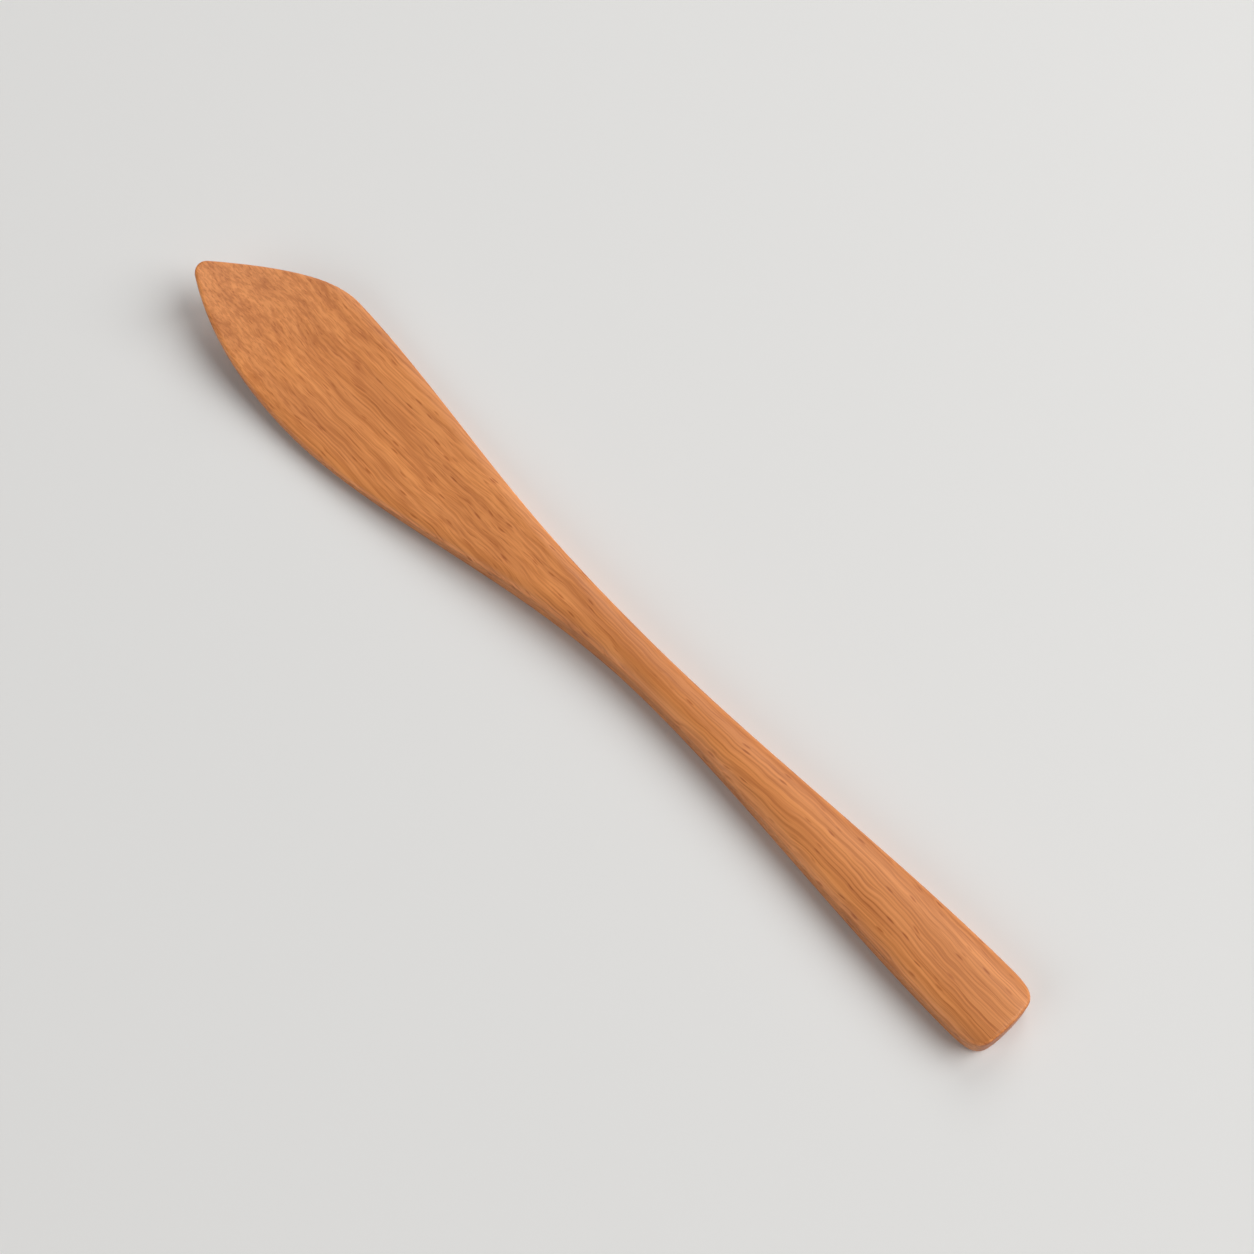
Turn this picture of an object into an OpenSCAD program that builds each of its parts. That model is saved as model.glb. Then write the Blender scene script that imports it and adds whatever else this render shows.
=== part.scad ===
// Wooden butter spreader, cut from one piece of beech and lying on its flat underside.
// +X points along the handle to the tip, +Y to the curved spreading edge, +Z up.
// The origin is under the middle of the spreader, on the surface it rests on.
// Lengths are in millimetres, angles in degrees.

/* [Overall] */
// Length from the end of the handle to the tip of the blade
overall_length = 180; // [165:1:200]

/* [Handle] */
// Greatest width of the handle, just before its end
handle_width = 13.3; // [11:0.1:15]
// Thickness of the handle over its flat underside
handle_thickness = 6; // [5.4:0.1:7.5]
// Distance from the end to the widest place, where the sides start to draw in
handle_taper_start = 6; // [5:0.5:12]
// Radius of the shallow arc across the end of the handle
end_arc_radius = 30; // [20:1:60]
// Width of that arc, between the two soft corners of the end
end_arc_width = 6.4; // [4:0.2:8]

/* [Neck] */
// Width at the narrowest place
neck_width = 6.8; // [5.6:0.1:8]
// Distance from the end of the handle to the narrowest place
neck_position = 79; // [66:1:86]
// How far the waist of the back edge lies ahead of the waist of the spreading edge
neck_slant = 8; // [0:0.5:10]

/* [Blade] */
// Greatest width of the blade
blade_width = 23.9; // [20:0.1:28]
// Share of that width on the spreading edge's side of the handle's centre line
spreading_share = 0.59; // [0.5:0.01:0.65]
// Thickness where the blade is widest
blade_thickness = 2.3; // [1.9:0.1:3.2]
// Thickness at the tip
tip_thickness = 1.5; // [1.3:0.1:1.9]
// Distance from the tip back to the widest place of the spreading edge
spreading_edge_length = 29; // [24:0.5:34]
// Distance from the tip back to the shoulder of the back edge
shoulder_length = 21; // [18:0.5:26]
// How late the back edge swings out from the neck, 1 being an even curve
back_edge_delay = 1.25; // [1:0.05:1.6]
// The same for the spreading edge, which swings out sooner
spreading_edge_delay = 1.12; // [0.9:0.02:1.3]

/* [Tip] */
// Radius of the rounded tip, seen from above
tip_radius = 2.2; // [1.6:0.1:3]
// Distance of the tip's centre from the centre line of the handle
tip_offset = 6.2; // [4:0.1:8]
// Slope of the front edge where it meets the tip
front_edge_angle = 49; // [44:1:58]
// Slope of the spreading edge where it meets the tip
nose_angle = 30; // [24:1:38]

/* [Side profile] */
// Height of the underside at the tip
tip_lift = 8.5; // [4:0.5:10]
// Distance from the tip over which the blade curves up
lift_length = 36; // [30:1:44]
// Height of the underside where the blade is widest
blade_clearance = 0.9; // [0.5:0.1:1.5]

/* [Edges] */
// Rounding of the edges of the handle
handle_edge_radius = 0.7; // [0.4:0.1:1]
// Rounding of the edges of the blade
blade_edge_radius = 0.5; // [0.3:0.1:0.6]
// Height of the crown across the handle
handle_crown = 1.2; // [0.6:0.1:1.5]
// Width of the crown's slope on each side of the handle
handle_crown_width = 5; // [3:0.1:6]
// Height of the bevel along the blade
blade_bevel = 0.3; // [0.1:0.05:0.4]
// Width of the bevel along the blade
blade_bevel_width = 1.9; // [1.4:0.1:2.6]

/* [Hidden] */
// Half widths of the handle and neck, and how far each edge of the blade reaches out
handle_half = handle_width / 2;
neck_half = neck_width / 2;
spreading_reach = blade_width * spreading_share;
back_reach = blade_width - spreading_reach;
// Places along the length, from the end of the handle: the waist and the widest place of
// each edge
spreading_waist_x = neck_position - neck_slant / 2;
back_waist_x = neck_position + neck_slant / 2;
spreading_x = overall_length - spreading_edge_length;
shoulder_x = overall_length - shoulder_length;
// The body starts to thin and to rise this far past the neck, and has thinned fully this
// far short of the blade's widest place.
root_run = 6;
flat_run = 4;
blade_root_x = neck_position + root_run;
blade_flat_x = spreading_x - flat_run;
// The handle's crown starts to fade this far short of the neck. Its slope has narrowed,
// and its height has faded, to the blade's bevel this far past the neck.
crown_lead = 18;
crown_narrowing_run = 32;
crown_fading_run = 56;
crown_fade_start_x = neck_position - crown_lead;
crown_narrow_end_x = neck_position + crown_narrowing_run;
crown_fade_end_x = neck_position + crown_fading_run;
// Depth planed off the crowned underside to leave the flat that the handle rests on
planed_depth = 0.25;
// The underside's crown as a share of the top's
underside_crown_share = 0.7;
// Curvature of the crown's slope: 2 is a round crown, 1 a straight bevel
handle_crown_power = 2;
blade_bevel_power = 1.3;
// Largest shares: of an edge's half width for the crown's slope, of the face's width for
// the finer mesh along each edge, and of the local thickness for the edge rounding
crown_share = 0.92;
slope_share = 0.4;
rounding_share = 0.42;
// How far the curves that shape the handle's end and the blade's nose hold to their first
// and last directions, as shares of their chords
end_softness = 0.38;
side_softness = 0.64;
shoulder_softness = 0.18;
front_softness = 0.58;
widest_softness = 0.38;
nose_softness = 0.31;
// Points along each part of the outline, and across its roundings and faces
arc_steps = 4;
corner_steps = 10;
side_steps = 60;
nose_steps = 18;
tip_steps = 6;
edge_steps = 4;
slope_steps = 4;
face_steps = 3;
// How far the planed plane runs past the body
margin = 5;
// Points closer together than this count as one
same_point = 0.001;

// A smooth step from 0 to 1, level at both ends
function ease(t) = let(c = max(0, min(1, t))) c * c * (3 - 2 * c);

function blend(a, b, t) = a + (b - a) * ease(t);

function ramp(x, from, to) = (x - from) / (to - from);

function unit_step(x, from, to, delay) = pow(max(0, min(1, ramp(x, from, to))), delay);

// Distance of a long edge from the handle's centre line, at x from the end of the handle
function edge_line(x, waist_x, wide_x, reach, delay) =
    x < waist_x
    ? blend(handle_half, neck_half, ramp(x, handle_taper_start, waist_x))
    : blend(neck_half, reach, unit_step(x, waist_x, wide_x, delay));

function spreading_line(x) =
    edge_line(x, spreading_waist_x, spreading_x, spreading_reach, spreading_edge_delay);

function back_line(x) =
    edge_line(x, back_waist_x, shoulder_x, back_reach, back_edge_delay);

// Points along a circle's arc, and along a cubic curve with given end directions
function arc(centre, r, from, to, steps) =
    [for (i = [0:steps]) let(a = from + (to - from) * i / steps)
        centre + r * [cos(a), sin(a)]];

function cubic(p, q, r, s, t) =
    pow(1 - t, 3) * p + 3 * pow(1 - t, 2) * t * q + 3 * (1 - t) * t * t * r + t * t * t * s;

function curve(start, start_angle, start_pull, end, end_angle, end_pull, steps) =
    let(chord = norm(end - start))
    [for (i = [0:steps]) cubic(
        start,
        start + start_pull * chord * [cos(start_angle), sin(start_angle)],
        end - end_pull * chord * [cos(end_angle), sin(end_angle)],
        end, i / steps)];

// The end of the handle: a shallow arc across it and a soft corner on each side, which
// runs out into the side at the widest place
end_arc_angle = asin(end_arc_width / 2 / end_arc_radius);
end_arc_corner = end_arc_radius * [1 - cos(end_arc_angle), sin(end_arc_angle)];

// The tip: an arc between the front edge and the spreading edge
tip_centre = [overall_length - tip_radius, tip_offset];
tip_front = front_edge_angle - 90;
tip_nose = 90 - nose_angle;
tip_middle = (tip_front + tip_nose) / 2;

// One side of the outline from the middle of the handle's end to the middle of the tip.
// side is 1 for the spreading edge and -1 for the back edge, which is drawn mirrored here.
function end_cap() = concat(
    arc([end_arc_radius, 0], end_arc_radius, 180, 180 - end_arc_angle, arc_steps),
    curve(end_arc_corner, 90 - end_arc_angle, end_softness,
        [handle_taper_start, handle_half], 0, side_softness, corner_steps));

function side_points(wide_x) =
    [for (i = [1:side_steps])
        handle_taper_start + (wide_x - handle_taper_start) * i / side_steps];

function spreading_side() = concat(
    end_cap(),
    [for (x = side_points(spreading_x)) [x, spreading_line(x)]],
    curve([spreading_x, spreading_reach], 0, widest_softness,
        tip_centre + tip_radius * [cos(tip_nose), sin(tip_nose)], -nose_angle,
        nose_softness, nose_steps),
    arc(tip_centre, tip_radius, tip_nose, tip_middle, tip_steps));

function back_side() = concat(
    [for (p = end_cap()) [p.x, -p.y]],
    [for (x = side_points(shoulder_x)) [x, -back_line(x)]],
    curve([shoulder_x, -back_reach], 0, shoulder_softness,
        tip_centre + tip_radius * [cos(tip_front), sin(tip_front)], front_edge_angle,
        front_softness, nose_steps),
    arc(tip_centre, tip_radius, tip_front, tip_middle, tip_steps));

// The same list without points that repeat the one before
function distinct(points) =
    [for (i = [0:len(points) - 1])
        if (i == 0 || norm(points[i] - points[i - 1]) > same_point) points[i]];

// The closed outline, counter-clockwise: out along the back edge, home along the other
back = distinct(back_side());
spreading = distinct(spreading_side());
rows = len(back) - 1;
ring = 2 * rows;
outline = concat(back, [for (i = [rows - 1:-1:1]) spreading[i]]);

function outward(i) =
    let(d = outline[(i + 1) % ring] - outline[(i + ring - 1) % ring])
    [d.y, -d.x] / norm(d);

normals = [for (i = [0:ring - 1]) outward(i)];

// Side profile: thickness on the centre line and height of the underside
function thickness(x) =
    x < spreading_x
    ? blend(handle_thickness, blade_thickness, ramp(x, blade_root_x, blade_flat_x))
    : blade_thickness + (tip_thickness - blade_thickness) * ramp(x, spreading_x, overall_length);

function underside(x) =
    blend(0, blade_clearance, ramp(x, blade_root_x, spreading_x))
    + (tip_lift - blade_clearance)
    * pow(max(0, ramp(x, overall_length - lift_length, overall_length)), 2);

// Crown: how the faces fall away towards the two long edges
function crown_drop(x) =
    blend(handle_crown, blade_bevel, ramp(x, crown_fade_start_x, crown_fade_end_x));

function crown_width(x) = min(
    blend(handle_crown_width, blade_bevel_width,
        ramp(x, crown_fade_start_x, crown_narrow_end_x)),
    crown_share * min(spreading_line(x), back_line(x)));

function crown_power(x) =
    blend(handle_crown_power, blade_bevel_power,
        ramp(x, crown_fade_start_x, crown_fade_end_x));

function crown(p) =
    let(gap = p.y > 0 ? spreading_line(p.x) - p.y : back_line(p.x) + p.y)
    pow(max(0, min(1, 1 - gap / crown_width(p.x))), crown_power(p.x));

function top_height(p) = underside(p.x) + thickness(p.x) - crown_drop(p.x) * crown(p);

function bottom_height(p) =
    underside(p.x)
    - blend(planed_depth, 0, ramp(p.x, blade_root_x, spreading_x))
    + underside_crown_share * crown_drop(p.x) * crown(p);

function edge_radius(p) =
    min(blend(handle_edge_radius, blade_edge_radius,
            ramp(p.x, crown_fade_start_x, crown_fade_end_x)),
        rounding_share * (top_height(p) - bottom_height(p)));

// Rounded edge: levels from the underside, round the wall, to the top face
levels = 2 * (edge_steps + 1);

function inset(i, turn) =
    outline[i] - normals[i] * edge_radius(outline[i]) * (1 - cos(turn));

function edge_point(i, level) =
    let(
        upper = level > edge_steps,
        turn = 90 * (upper ? level - edge_steps - 1 : edge_steps - level) / edge_steps,
        p = inset(i, turn),
        drop = edge_radius(outline[i]) * (1 - sin(turn)))
    [p.x, p.y, upper ? top_height(p) - drop : bottom_height(p) + drop];

// Faces: each row runs across from the spreading edge to the back edge
columns = 2 * (slope_steps + face_steps);

function column_share(j, length, slope) =
    j <= slope_steps ? slope / length * j / slope_steps
    : j >= columns - slope_steps ? 1 - slope / length * (columns - j) / slope_steps
    : slope / length
        + (1 - 2 * slope / length) * (j - slope_steps) / (columns - 2 * slope_steps);

function face_point(i, j) =
    let(
        a = inset(ring - i, 90),
        b = inset(i, 90),
        length = norm(b - a),
        slope = min(crown_width(outline[i].x), slope_share * length))
    a + (b - a) * column_share(j, length, slope);

body_points = concat(
    [for (i = [0:ring - 1]) for (level = [0:levels - 1]) edge_point(i, level)],
    [for (i = [1:rows - 1]) for (j = [1:columns - 1])
        let(p = face_point(i, j)) [p.x, p.y, bottom_height(p)]],
    [for (i = [1:rows - 1]) for (j = [1:columns - 1])
        let(p = face_point(i, j)) [p.x, p.y, top_height(p)]]);

function edge_index(i, level) = (i % ring) * levels + level;

// face is 0 for the underside and 1 for the top
function face_index(i, j, face) =
    i == 0 || i == rows || j == columns ? edge_index(i, face * (levels - 1))
    : j == 0 ? edge_index(ring - i, face * (levels - 1))
    : ring * levels + face * (rows - 1) * (columns - 1) + (i - 1) * (columns - 1) + j - 1;

// Two triangles for each cell of the grid, seen clockwise from outside
function cell(a, b, c, d) = [[a, b, c], [a, c, d]];

function real_triangles(cells) =
    [for (c = cells) for (t = c) if (t[0] != t[1] && t[1] != t[2] && t[2] != t[0]) t];

edge_cells = [for (i = [0:ring - 1]) for (level = [0:levels - 2])
    cell(edge_index(i, level), edge_index(i, level + 1),
        edge_index(i + 1, level + 1), edge_index(i + 1, level))];

top_cells = [for (i = [0:rows - 1]) for (j = [0:columns - 1])
    cell(face_index(i, j, 1), face_index(i + 1, j, 1),
        face_index(i + 1, j + 1, 1), face_index(i, j + 1, 1))];

bottom_cells = [for (i = [0:rows - 1]) for (j = [0:columns - 1])
    cell(face_index(i, j, 0), face_index(i, j + 1, 0),
        face_index(i + 1, j + 1, 0), face_index(i + 1, j, 0))];

// The body with its underside still crowned, its handle's end at the origin
module shaped_blank() {
    polyhedron(
        points = body_points,
        faces = real_triangles(concat(edge_cells, top_cells, bottom_cells)),
        convexity = 4);
}

// Everything below the plane that the spreader rests on
module planed_away() {
    translate([-margin, -blade_width, -handle_thickness])
        cube([overall_length + 2 * margin, 2 * blade_width, handle_thickness]);
}

module spreader() {
    color([0.8, 0.52, 0.31])
        translate([-overall_length / 2, (back_reach - spreading_reach) / 2, 0])
            difference() {
                shaped_blank();
                planed_away();
            }
}

spreader();
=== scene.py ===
import bpy
import math
from mathutils import Matrix, Vector

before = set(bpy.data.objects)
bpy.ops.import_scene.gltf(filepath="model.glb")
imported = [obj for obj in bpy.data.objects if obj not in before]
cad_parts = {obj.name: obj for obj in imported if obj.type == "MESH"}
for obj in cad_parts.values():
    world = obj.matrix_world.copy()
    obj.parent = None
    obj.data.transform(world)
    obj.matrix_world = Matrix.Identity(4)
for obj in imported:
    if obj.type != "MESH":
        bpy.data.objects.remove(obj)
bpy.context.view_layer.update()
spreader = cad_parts["spreader"]

MM = 0.001

# The photograph's view: the point it looks at, and the directions of the picture's right
# side and of its top, along the surface that the spreader lies on.
LOOK_AT = Vector((-2.41, -5.57, 0)) * MM
RIGHT = Vector((-0.6889, -0.7249, 0))
AWAY = Vector((0.7249, -0.6889, 0))
ELEVATION = math.radians(70)
DISTANCE = 436.6 * MM
FIELD_OF_VIEW = math.radians(26)

# The soft lights' distance from the spreader, in metres
LIGHT_DISTANCE = 1.8

# Half the side of the floor, in metres, and its colour
FLOOR_HALF = 3.0
FLOOR_COLOUR = (0.80, 0.795, 0.785)

# Corners of the imported facets that lie closer than this are joined
JOIN_DISTANCE = 0.001 * MM

# The wood's colour, and the tones that multiply it
OILED_BEECH = (0.745, 0.279, 0.080)
DARK_BAND = (0.84, 0.78, 0.70)
PALE_PATCH = (1.10, 1.12, 1.14)
FINE_LINE = (0.80, 0.72, 0.64)
FINE_STREAK = (0.80, 0.70, 0.60)
RAY_FLECK = (0.70, 0.54, 0.40)
# Painted light: makes the rounded edges lighter and paler, as lit edges look
PAINTED_EDGE_LIGHT = (1.28, 1.34, 1.50)
END_GRAIN = (0.78, 0.66, 0.58)

# How often each pattern repeats in a millimetre: along the fibres, across them and in height
BAND_SCALE = (0.014, 0.42, 0.42)
PATCH_SCALE = (0.05, 0.18, 0.18)
LINE_SCALE = (0.035, 2.5, 2.5)
STREAK_SCALE = (0.09, 4.4, 4.4)
FLECK_SCALE = (0.26, 1.45, 0.5)
SHEEN_SCALE = (0.06, 0.8, 0.8)
RIPPLE_SCALE = (0.11, 0.16, 0.16)
WANDER_SCALE = 0.022

# Where the slow wander of the fibres starts in its noise, and how far, in millimetres, the
# wander and the ripple push the fibres sideways
WANDER_START = (3.7, 1.9)
WANDER_WIDTH = 5.0
RIPPLE_WIDTH = 1.6

# The flecks thin out between these places along the spreader, in millimetres
SPARSE_FLECKS_AT = 88
DENSE_FLECKS_AT = 45

# Depth of the open grain
GRAIN_DEPTH = 0.06 * MM


def direction(turn, elevation):
    """A unit vector at that elevation, turned from the picture's right towards its top."""
    turn, elevation = math.radians(turn), math.radians(elevation)
    flat = RIGHT * math.cos(turn) + AWAY * math.sin(turn)
    return flat * math.cos(elevation) + Vector((0, 0, math.sin(elevation)))


def add(name, data):
    made = bpy.data.objects.new(name, data)
    bpy.context.scene.collection.objects.link(made)
    return made


def make_camera():
    data = bpy.data.cameras.new("camera")
    data.angle = FIELD_OF_VIEW
    data.clip_start, data.clip_end = 0.01, 10
    camera = add("camera", data)
    back = -AWAY * math.cos(ELEVATION) + Vector((0, 0, math.sin(ELEVATION)))
    camera.location = LOOK_AT + back * DISTANCE
    up = back.cross(RIGHT)
    camera.rotation_mode = "QUATERNION"
    camera.rotation_quaternion = Matrix((RIGHT, up, back)).transposed().to_quaternion()
    bpy.context.scene.camera = camera


def make_light(name, turn, elevation, size, power, colour):
    """A round soft light that faces the spreader."""
    data = bpy.data.lights.new(name, "AREA")
    data.shape = "DISK"
    data.size = size
    data.energy = power
    data.color = colour
    light = add(name, data)
    towards = direction(turn, elevation)
    light.location = LOOK_AT + towards * LIGHT_DISTANCE
    light.rotation_mode = "QUATERNION"
    light.rotation_quaternion = towards.to_track_quat("Z", "Y")


def make_world(colour, strength):
    world = bpy.data.worlds.new("world")
    world.use_nodes = True
    background = world.node_tree.nodes["Background"]
    background.inputs["Color"].default_value = (*colour, 1)
    background.inputs["Strength"].default_value = strength
    bpy.context.scene.world = world


def make_floor():
    half = FLOOR_HALF
    mesh = bpy.data.meshes.new("floor")
    corners = [(-half, -half, 0), (half, -half, 0), (half, half, 0), (-half, half, 0)]
    mesh.from_pydata(corners, [], [(0, 1, 2, 3)])
    floor = add("floor", mesh)
    material = bpy.data.materials.new("floor")
    material.use_nodes = True
    shader = material.node_tree.nodes["Principled BSDF"]
    shader.inputs["Base Color"].default_value = (*FLOOR_COLOUR, 1)
    shader.inputs["Roughness"].default_value = 0.9
    shader.inputs["Specular IOR Level"].default_value = 0.2
    mesh.materials.append(material)


def smooth(piece):
    """Joins the imported facets and shades them as one smooth skin."""
    tree = bpy.data.node_groups.new("smooth_skin", "GeometryNodeTree")
    tree.interface.new_socket("Geometry", in_out="INPUT", socket_type="NodeSocketGeometry")
    tree.interface.new_socket("Geometry", in_out="OUTPUT", socket_type="NodeSocketGeometry")
    source = tree.nodes.new("NodeGroupInput")
    result = tree.nodes.new("NodeGroupOutput")
    merge = tree.nodes.new("GeometryNodeMergeByDistance")
    merge.inputs["Distance"].default_value = JOIN_DISTANCE
    normal = tree.nodes.new("GeometryNodeSetMeshNormal")
    normal.mode = "SHARPNESS"
    normal.inputs["Remove Custom"].default_value = True
    normal.inputs["Edge Sharpness"].default_value = False
    normal.inputs["Face Sharpness"].default_value = False
    links = tree.links
    links.new(source.outputs[0], merge.inputs["Geometry"])
    links.new(merge.outputs[0], normal.inputs["Mesh"])
    links.new(normal.outputs[0], result.inputs[0])
    modifier = piece.modifiers.new("smooth_skin", "NODES")
    modifier.node_group = tree


class Graph:
    """Adds nodes to one material, with short words for the steps that repeat."""

    def __init__(self, name):
        self.material = bpy.data.materials.new(name)
        self.material.use_nodes = True
        self.tree = self.material.node_tree
        self.shader = self.tree.nodes["Principled BSDF"]

    def set(self, socket, value):
        """Links a socket to a node's output, or gives it a plain value."""
        if isinstance(value, bpy.types.NodeSocket):
            self.tree.links.new(value, socket)
        else:
            socket.default_value = value

    def math(self, operation, first, second):
        node = self.tree.nodes.new("ShaderNodeMath")
        node.operation = operation
        self.set(node.inputs[0], first)
        self.set(node.inputs[1], second)
        return node.outputs[0]

    def size(self, value):
        """The number without its sign."""
        return self.math("ABSOLUTE", value, 0.0)

    def swing(self, value, width):
        """Turns a noise between 0 and 1 into a push of that width, to both sides of zero."""
        return self.math("MULTIPLY", self.math("SUBTRACT", value, 0.5), width)

    def join(self, x, y, z):
        node = self.tree.nodes.new("ShaderNodeCombineXYZ")
        for socket, value in zip(node.inputs, (x, y, z)):
            self.set(socket, value)
        return node.outputs[0]

    def split(self, vector):
        node = self.tree.nodes.new("ShaderNodeSeparateXYZ")
        self.set(node.inputs[0], vector)
        return node.outputs

    def stretch(self, vector, scale):
        node = self.tree.nodes.new("ShaderNodeVectorMath")
        node.operation = "MULTIPLY"
        self.set(node.inputs[0], vector)
        node.inputs[1].default_value = scale
        return node.outputs[0]

    def noise(self, vector, detail=2.0, roughness=0.5):
        node = self.tree.nodes.new("ShaderNodeTexNoise")
        self.set(node.inputs["Vector"], vector)
        node.inputs["Scale"].default_value = 1.0
        node.inputs["Detail"].default_value = detail
        node.inputs["Roughness"].default_value = roughness
        return node.outputs["Fac"]

    def cells(self, vector):
        """The distance to the nearest cell's middle, and a number drawn for that cell."""
        node = self.tree.nodes.new("ShaderNodeTexVoronoi")
        self.set(node.inputs["Vector"], vector)
        node.inputs["Scale"].default_value = 1.0
        return node.outputs["Distance"], self.split(node.outputs["Color"])[0]

    def ramp(self, value, low, high, at_low=0.0, at_high=1.0):
        """Eases from one number to another while the value goes from low to high."""
        node = self.tree.nodes.new("ShaderNodeMapRange")
        node.interpolation_type = "SMOOTHSTEP"
        for socket, number in zip(node.inputs, (value, low, high, at_low, at_high)):
            self.set(socket, number)
        return node.outputs[0]

    def tint(self, factor, colour, tone):
        """The colour, multiplied by the tone where the factor is one."""
        node = self.tree.nodes.new("ShaderNodeMix")
        node.data_type = "RGBA"
        node.blend_type = "MULTIPLY"
        node.clamp_result = False
        self.set(node.inputs[0], factor)
        self.set(node.inputs[6], colour)
        self.set(node.inputs[7], (*tone, 1))
        return node.outputs[2]


def fibres(graph, place):
    """Places on the spreader, pushed sideways so that the grain wanders and ripples."""
    along, across, height = graph.split(place)
    start = graph.join(graph.math("MULTIPLY", along, WANDER_SCALE), *WANDER_START)
    wander = graph.swing(graph.noise(start, 1.0), WANDER_WIDTH)
    ripple = graph.swing(graph.noise(graph.stretch(place, RIPPLE_SCALE)), RIPPLE_WIDTH)
    push = graph.math("ADD", wander, ripple)
    return graph.join(along, graph.math("ADD", across, push), height)


def ray_flecks(graph, fibre, along):
    """Short dark dashes along the grain, fewer of them towards the tip."""
    distance, chance = graph.cells(graph.stretch(fibre, FLECK_SCALE))
    dashes = graph.math("MULTIPLY", graph.ramp(distance, 0.30, 0.10), graph.ramp(chance, 0.35, 0.75))
    density = graph.ramp(along, SPARSE_FLECKS_AT, DENSE_FLECKS_AT, 0.25, 1.0)
    return graph.math("MULTIPLY", dashes, density)


def painted_edge_light(graph, facing):
    """One on the rounded edges, most on the spreading edge's side: the mask for painted light that
    makes these edges lighter and paler.
    """
    upright = graph.size(facing[2])
    edge = graph.math("MULTIPLY", graph.ramp(upright, 0.25, 0.55), graph.ramp(upright, 0.93, 0.72))
    return graph.math("MULTIPLY", edge, graph.ramp(facing[1], -0.3, 0.3, 0.4, 1.0))


def beech():
    """Oiled beech: long fine grain, dark ray flecks, soft bands, painted light on the rounded edges
    and end grain.
    """
    graph = Graph("beech")
    coordinates = graph.tree.nodes.new("ShaderNodeTexCoord").outputs
    place = graph.stretch(coordinates["Object"], (1 / MM, 1 / MM, 1 / MM))
    facing = graph.split(coordinates["Normal"])
    fibre = fibres(graph, place)

    bands = graph.noise(graph.stretch(fibre, BAND_SCALE), 3.0, 0.55)
    patches = graph.noise(graph.stretch(fibre, PATCH_SCALE))
    lines = graph.noise(graph.stretch(fibre, LINE_SCALE), 2.0, 0.6)
    streaks = graph.noise(graph.stretch(fibre, STREAK_SCALE), 1.0)
    flecks = ray_flecks(graph, fibre, graph.split(place)[0])
    end_grain = graph.ramp(graph.size(facing[0]), 0.55, 0.90)

    colour = graph.tint(graph.ramp(bands, 0.60, 0.34), (*OILED_BEECH, 1), DARK_BAND)
    colour = graph.tint(graph.ramp(patches, 0.42, 0.72), colour, PALE_PATCH)
    colour = graph.tint(graph.ramp(lines, 0.62, 0.36), colour, FINE_LINE)
    colour = graph.tint(graph.ramp(streaks, 0.58, 0.74), colour, FINE_STREAK)
    colour = graph.tint(flecks, colour, RAY_FLECK)
    # Painted light: the rounded edges made lighter and paler, most on the spreading edge's side
    colour = graph.tint(painted_edge_light(graph, facing), colour, PAINTED_EDGE_LIGHT)
    colour = graph.tint(end_grain, colour, END_GRAIN)
    graph.set(graph.shader.inputs["Base Color"], colour)

    sheen = graph.noise(graph.stretch(fibre, SHEEN_SCALE))
    graph.set(graph.shader.inputs["Roughness"], graph.ramp(sheen, 0.3, 0.7, 0.40, 0.52))

    bump = graph.tree.nodes.new("ShaderNodeBump")
    bump.inputs["Strength"].default_value = 0.5
    bump.inputs["Distance"].default_value = GRAIN_DEPTH
    relief = graph.math("SUBTRACT", lines, graph.math("MULTIPLY", flecks, 0.35))
    graph.set(bump.inputs["Height"], relief)
    graph.set(graph.shader.inputs["Normal"], bump.outputs[0])
    return graph.material


make_camera()
make_world((1.0, 0.99, 0.98), 0.12)
make_light("key", 4, 46, 1.75, 29.5, (1.0, 1.0, 0.995))
make_light("back", 75, 35, 1.2, 9, (1.0, 1.0, 0.99))
make_light("left", 210, 35, 1.2, 6.5, (1.0, 0.99, 0.975))
make_floor()
smooth(spreader)
spreader.material_slots[0].material = beech()

bpy.context.scene.view_settings.view_transform = "Standard"
